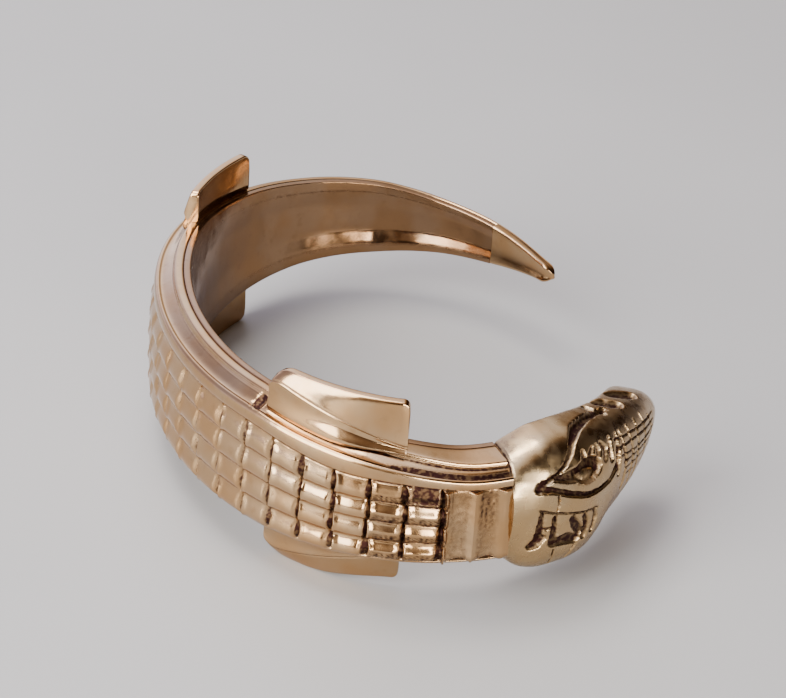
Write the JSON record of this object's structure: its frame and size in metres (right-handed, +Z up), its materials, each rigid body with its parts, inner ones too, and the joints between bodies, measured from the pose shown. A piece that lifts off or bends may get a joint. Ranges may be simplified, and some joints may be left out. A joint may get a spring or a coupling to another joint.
{
  "type": "alligator cuff bracelet",
  "caption": "Open oval cuff bracelet shaped as an alligator, with a ridged scaly back, a tapering tail, a modelled head and paired leg plates, worn round the wrist.",
  "frame": {"origin": "centre of the oval wrist opening, on the plane that the two lower legs rest on", "axes": "+Z up through the wrist opening, +Y along the long axis of the oval towards the tail side, +X across the oval towards the gap between snout and tail tip"},
  "size_m": [0.0525, 0.0698, 0.0226],
  "materials": {
    "cast_bronze": "polished warm bronze with dark patina in the grooves",
    "lining_bronze": "smooth polished bronze sheet",
    "head_bronze": "satin bronze with fine file marks and dark patina in the cuts",
    "leg_bronze": "polished warm bronze"
  },
  "bodies": {
    "root": {"body_shell": "cast_bronze", "inner_liner": "lining_bronze", "head": "head_bronze", "tail_tip": "cast_bronze", "front_leg_upper": "leg_bronze", "front_leg_lower": "leg_bronze", "hind_leg_upper": "leg_bronze", "hind_leg_lower": "leg_bronze"}
  },
  "joints": []
}
